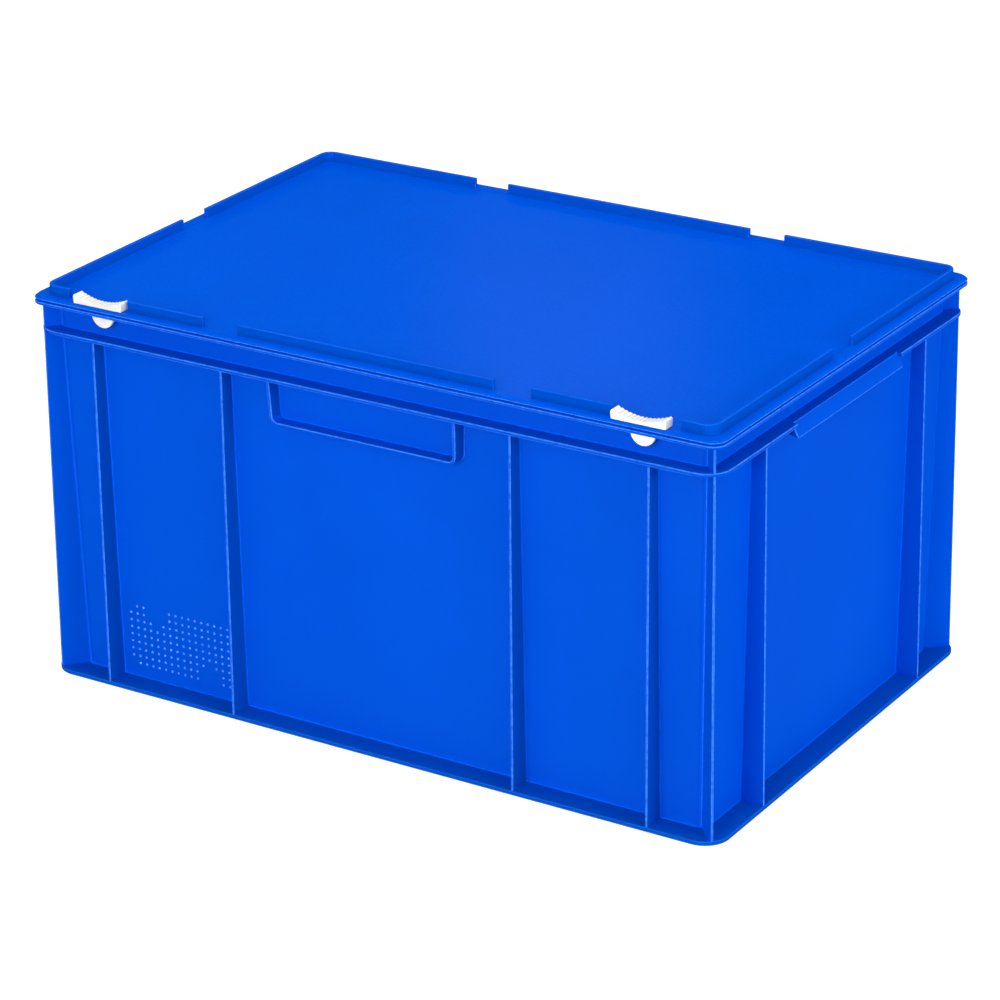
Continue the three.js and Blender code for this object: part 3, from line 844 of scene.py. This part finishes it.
def floor_material(name):
    """Pale matt paper that glows a little, so that it stays even and bright."""
    n = Nodes(name)
    n.link(n.mix(n.noise(3.0, 3.0), PAPER_DARK, PAPER_LIGHT), n.shader.inputs["Base Color"])
    n.shader.inputs["Roughness"].default_value = 0.9
    n.shader.inputs["Specular IOR Level"].default_value = 0.1
    n.shader.inputs["Emission Color"].default_value = (1.0, 1.0, 1.0, 1.0)
    n.shader.inputs["Emission Strength"].default_value = 0.9
    return n.material


# ---------------------------------------------------------------- build the pieces

wall_blue = moulded_plastic(
    "wall_blue", (0.0, 0.074, 0.63), (0.0, 0.081, 0.67), ROOT_HIGHLIGHT_BLUE,
    roughness=0.4, grain_scale=900.0, grain=0.04, speckle=0.04, specular=0.01)
lid_blue = moulded_plastic(
    "lid_blue", (0.0, 0.065, 0.54), (0.0, 0.07, 0.575), LID_ROOT_SHADE_BLUE,
    roughness=0.09, grain_scale=600.0, grain=0.12, speckle=0.1, specular=0.02)
# The dots get a lighter copy of the blue: a painted highlight on the domes.
dot_highlight_blue = moulded_plastic(
    "dot_highlight_blue", (0.22, 0.46, 1.0), (0.28, 0.52, 1.0), ROOT_HIGHLIGHT_BLUE,
    roughness=0.4, grain_scale=900.0, grain=0.02, speckle=0.05, specular=0.05)
latch_white = latch_plastic("latch_white")
pin_steel = drawn_steel("pin_steel")


def install(obj, material, body, node):
    """Gives a piece its material, its body, the CAD node that it replaces, if any."""
    obj.data.materials.clear()
    obj.data.materials.append(material)
    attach(obj, body)
    if node:
        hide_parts(node)


install(make_container(), wall_blue, "container", "container_body")
install(make_dots(), dot_highlight_blue, "container", None)
install(make_lid(), lid_blue, "lid", "lid")
for label, sign in (("left", -1), ("right", 1)):
    latch = make_latch(f"latch_grip_{label}", sign * LATCH_X)
    install(latch, latch_white, f"latch_{label}", f"latch_{label}")
    clip = make_clip(f"hinge_block_{label}", sign * HINGE_X)
    install(clip, wall_blue, "container", f"hinge_clip_{label}")
    pin = make_pin(f"hinge_rod_{label}", sign * HINGE_X)
    install(pin, pin_steel, "container", f"hinge_pin_{label}")


# ---------------------------------------------------------------- stage, light and camera

def make_floor():
    """Plain floor, left out of reflections and bounced light so that the plastic's blue stays clean."""
    reach = 9000.0
    corners = ((-reach, -reach), (reach, -reach), (reach, reach), (-reach, reach))
    bm = bmesh.new()
    bm.faces.new([bm.verts.new((x, y, 0.0)) for x, y in corners])
    floor = new_object("floor", bm)
    floor.data.materials.append(floor_material("floor_paper"))
    floor.visible_glossy = False
    floor.visible_diffuse = False
    floor.visible_shadow = False


def area_light(name, place, target, width, height, power, glossy=True, diffuse=True):
    """Rectangular light, in metres and watts. glossy and diffuse say in which shading it shows."""
    light = bpy.data.lights.new(name, "AREA")
    light.shape = "RECTANGLE"
    light.size, light.size_y = width, height
    light.energy = power
    obj = bpy.data.objects.new(name, light)
    obj.location = place
    obj.rotation_euler = (Vector(target) - Vector(place)).to_track_quat("-Z", "Y").to_euler()
    obj.visible_glossy = glossy
    obj.visible_diffuse = diffuse
    bpy.context.scene.collection.objects.link(obj)


def make_world(strength):
    """Even white surroundings that light the part but don't show in its gloss."""
    world = bpy.data.worlds.new("studio")
    world.use_nodes = True
    background = world.node_tree.nodes["Background"]
    background.inputs["Color"].default_value = (1.0, 1.0, 1.0, 1.0)
    background.inputs["Strength"].default_value = strength
    world.cycles_visibility.glossy = False
    bpy.context.scene.world = world


def make_camera():
    """Camera at the front right, above the lid. Its place is in metres and its angles in radians."""
    place = Vector((1.49306, -2.37638, 1.32791))
    yaw, pitch, roll = 0.562279, -0.399286, -0.013175
    level = math.cos(pitch)
    ahead = Vector((-math.sin(yaw) * level, math.cos(yaw) * level, math.sin(pitch)))
    right = ahead.cross(Vector((0, 0, 1))).normalized()
    up = right.cross(ahead)
    cos, sin = math.cos(roll), math.sin(roll)
    right, up = cos * right + sin * up, -sin * right + cos * up
    camera = bpy.data.cameras.new("camera")
    camera.sensor_width = 36.0
    camera.lens = 140.6232
    camera.clip_end = 50.0
    obj = bpy.data.objects.new("camera", camera)
    obj.matrix_world = Matrix((
        (right.x, up.x, -ahead.x, place.x),
        (right.y, up.y, -ahead.y, place.y),
        (right.z, up.z, -ahead.z, place.z),
        (0, 0, 0, 1),
    ))
    bpy.context.scene.collection.objects.link(obj)
    bpy.context.scene.camera = obj


make_floor()
make_world(0.62)
# Broad lights shape the walls and the lid. Two small ones show only in the gloss: "low" on the rounded front
# corner, and "sheen" as a patch on the lid.
MIDDLE, LID_MIDDLE = (0, 0, 0.2), (0, 0, 0.33)
area_light("front", (0.3, -3.1, 1.25), MIDDLE, 1.6, 1.0, 57.0, glossy=False)
area_light("low", (-0.1, -3.2, 0.3), MIDDLE, 0.4, 0.5, 1800.0, diffuse=False)
area_light("side", (3.1, -0.4, 0.9), MIDDLE, 1.4, 1.0, 52.0, glossy=False)
area_light("top", (0.0, 0.1, 3.2), (0, 0, 0.3), 1.0, 0.8, 41.0, glossy=False)
area_light("rear", (-2.4, 2.6, 1.4), MIDDLE, 1.4, 1.0, 34.0, glossy=False)
area_light("sheen", (-1.52, 2.64, 1.55), LID_MIDDLE, 0.4, 0.2, 0.19, diffuse=False)
make_camera()
bpy.context.scene.view_settings.view_transform = "Standard"
